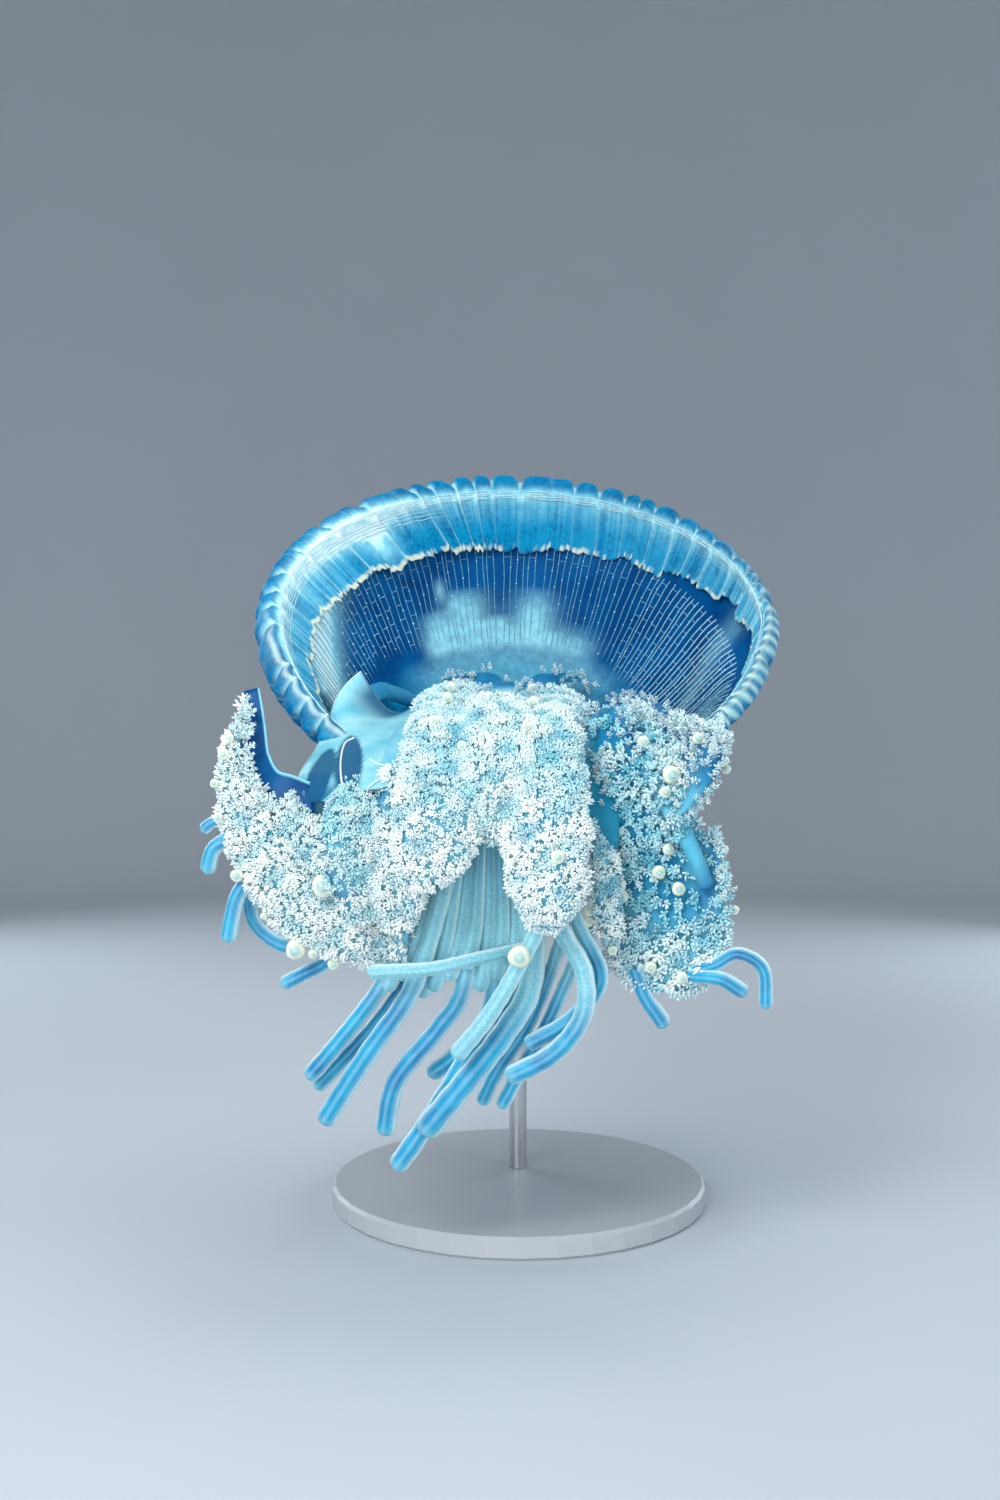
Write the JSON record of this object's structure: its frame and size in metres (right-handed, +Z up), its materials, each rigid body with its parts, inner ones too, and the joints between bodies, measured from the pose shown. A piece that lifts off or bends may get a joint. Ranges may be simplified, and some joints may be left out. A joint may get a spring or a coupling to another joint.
{
  "type": "crown jellyfish",
  "caption": "Life-size model of a crown jellyfish, its bell tipped back and its frilly arms hanging over the rim, on a display stand.",
  "frame": {"origin": "centre of the underside of the stand's base", "axes": "+Z up; the viewer of the picture stands on the -Y side; +X to that viewer's right"},
  "size_m": [0.3617, 0.3871, 0.5092],
  "materials": {
    "bell_jelly": "clear deep blue jelly with fine pale radial lines",
    "crown_jelly": "firm blue jelly with pale warts",
    "margin_jelly": "thin teal jelly lappets with cream edges",
    "stalk_jelly": "smooth wet pale blue jelly",
    "frills": "white branching frills with blue shadows",
    "filament_jelly": "smooth blue jelly with a pale inner canal",
    "stand_paint": "satin grey paint on aluminium",
    "stand_steel": "satin steel"
  },
  "bodies": {
    "root": {"arm_back_left": "frills", "arm_back_right": "frills", "arm_disc": "stalk_jelly", "arm_front_left_root": "frills", "arm_front_left_tip": "frills", "arm_front_right_root": "frills", "arm_front_right_tip": "frills", "arm_left_lower_heel": "frills", "arm_left_lower_horn": "frills", "arm_left_lower_stalk": "stalk_jelly", "arm_left_lower_web": "stalk_jelly", "arm_left_upper_root": "frills", "arm_left_upper_tip": "frills", "arm_right_lower_root": "frills", "arm_right_lower_tip": "frills", "arm_right_upper_root": "frills", "arm_right_upper_tip": "frills", "bell": "bell_jelly", "bell_crown": "crown_jelly", "filament_01": "filament_jelly", "filament_02": "filament_jelly", "filament_03": "filament_jelly", "filament_04": "filament_jelly", "filament_05": "filament_jelly", "filament_06": "filament_jelly", "filament_07_lower": "filament_jelly", "filament_07_upper": "filament_jelly", "filament_08_lower": "filament_jelly", "filament_08_upper": "filament_jelly", "filament_09_lower": "filament_jelly", "filament_09_upper": "filament_jelly", "filament_10": "filament_jelly", "filament_11": "filament_jelly", "filament_12": "filament_jelly", "filament_13": "filament_jelly", "filament_14": "filament_jelly", "filament_left_1": "filament_jelly", "filament_left_2": "filament_jelly", "filament_left_4": "filament_jelly", "filament_left_5": "filament_jelly", "filament_right_1": "filament_jelly", "filament_right_2": "filament_jelly", "filament_right_3": "filament_jelly", "margin_1": "margin_jelly", "margin_2": "margin_jelly", "margin_3": "margin_jelly", "margin_4": "margin_jelly", "margin_5": "margin_jelly", "margin_6": "margin_jelly", "margin_7": "margin_jelly", "margin_8": "margin_jelly", "oral_frills": "frills", "pillar_1": "stalk_jelly", "pillar_2": "stalk_jelly", "pillar_3": "stalk_jelly", "pillar_4": "stalk_jelly", "stand_base": "stand_paint", "stand_cradle": "stand_steel", "stand_rod": "stand_steel"}
  },
  "joints": []
}
